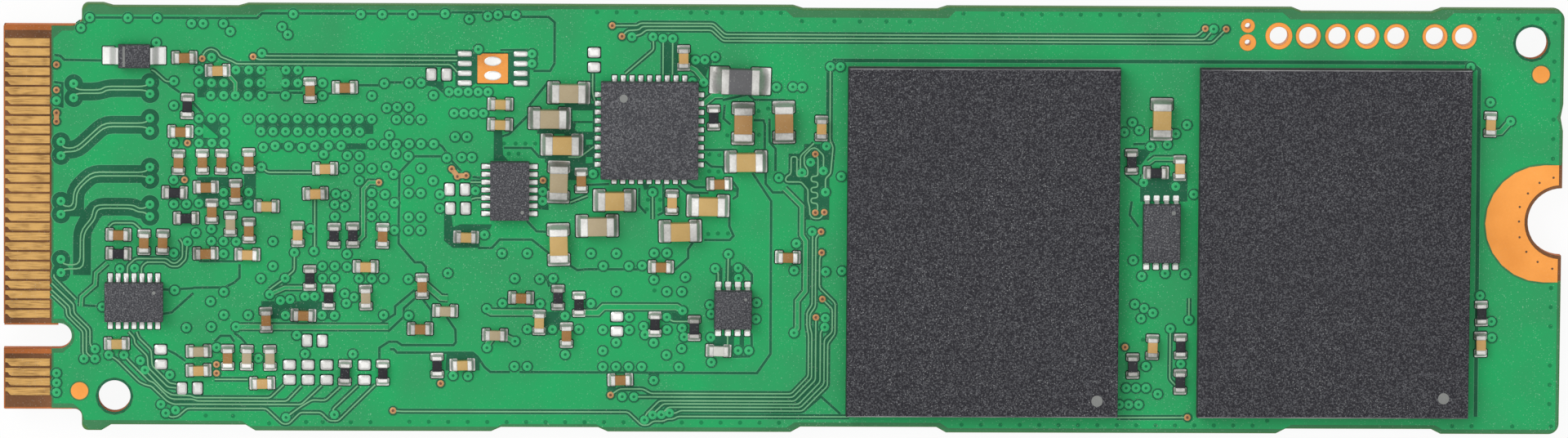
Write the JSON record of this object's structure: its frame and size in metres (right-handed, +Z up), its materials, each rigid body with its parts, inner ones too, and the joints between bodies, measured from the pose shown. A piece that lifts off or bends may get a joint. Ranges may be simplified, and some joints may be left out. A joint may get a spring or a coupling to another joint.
{
  "type": "gumstick solid state drive",
  "caption": "Bare circuit card with a gilded plug edge, black memory packages on both sides and a half-round screw notch; stores a computer's data.",
  "frame": {"origin": "under the middle of the card's length and width, on the plane that the card rests on with its back side down", "axes": "+X along the card from the gilded plug edge to the screw notch, +Y across it towards the edge with the row of plated holes, +Z up out of the front side"},
  "size_m": [0.08, 0.022, 0.0032],
  "materials": {
    "laminate": "glass fibre laminate, sawn edge, warm olive brown",
    "green_mask": "smooth satin green coat over copper",
    "gold_plating": "soft gold flash, slightly worn",
    "bare_copper": "gilded copper, satin",
    "solder": "bright reflowed solder",
    "tinned_lead": "tinned, dull bright",
    "tinned_end": "tinned, dull bright",
    "moulded_black": "moulded epoxy, fine matte grain",
    "carrier_board": "thin dark green laminate",
    "package_black": "moulded epoxy, fine matte grain",
    "resistor_black": "glazed black film on ceramic",
    "ferrite_grey": "matte dark grey ferrite",
    "brown_ceramic": "matte brown ceramic",
    "ochre_ceramic": "matte ochre ceramic",
    "tan_ceramic": "matte tan ceramic",
    "grey_ceramic": "matte grey-tan ceramic",
    "white_ceramic": "matte white ceramic"
  },
  "bodies": {
    "root": {"back_capacitor_ends": "tinned_end", "back_capacitors": "brown_ceramic", "back_edge_contacts": "gold_plating", "back_inner_flash_balls": "solder", "back_inner_flash_cap": "moulded_black", "back_inner_flash_carrier": "carrier_board", "back_outer_flash_balls": "solder", "back_outer_flash_cap": "moulded_black", "back_outer_flash_carrier": "carrier_board", "back_screw_land": "bare_copper", "back_solder_mask": "green_mask", "bare_solder_pads": "solder", "bead_core": "ferrite_grey", "bead_ends": "tinned_end", "brown_capacitors": "brown_ceramic", "brown_large_capacitors": "brown_ceramic", "centre_logic_body": "package_black", "centre_logic_toes": "tinned_lead", "circuit_board": "laminate", "controller_balls": "solder", "controller_cap": "moulded_black", "controller_carrier": "carrier_board", "diode_body": "package_black", "diode_leads": "tinned_lead", "far_switch_body": "package_black", "far_switch_leads": "tinned_lead", "fiducial_marks": "bare_copper", "footprint_pads": "solder", "footprint_slug": "bare_copper", "footprint_solder_dabs": "solder", "front_edge_contacts": "gold_plating", "front_inner_flash_balls": "solder", "front_inner_flash_cap": "moulded_black", "front_inner_flash_carrier": "carrier_board", "front_outer_flash_balls": "solder", "front_outer_flash_cap": "moulded_black", "front_outer_flash_carrier": "carrier_board", "front_screw_land": "bare_copper", "front_solder_mask": "green_mask", "grey_capacitors": "grey_ceramic", "grey_large_capacitors": "grey_ceramic", "large_capacitor_ends": "tinned_end", "left_logic_body": "package_black", "left_logic_toes": "tinned_lead", "memory_balls": "solder", "memory_cap": "moulded_black", "memory_carrier": "carrier_board", "near_switch_body": "package_black", "near_switch_leads": "tinned_lead", "ochre_capacitors": "ochre_ceramic", "plated_barrels": "bare_copper", "regulator_body": "package_black", "regulator_toes": "tinned_lead", "resistor_cores": "resistor_black", "resistor_ends": "tinned_end", "small_capacitor_ends": "tinned_end", "tan_capacitors": "tan_ceramic", "tan_large_capacitors": "tan_ceramic", "white_chip": "white_ceramic"}
  },
  "joints": []
}
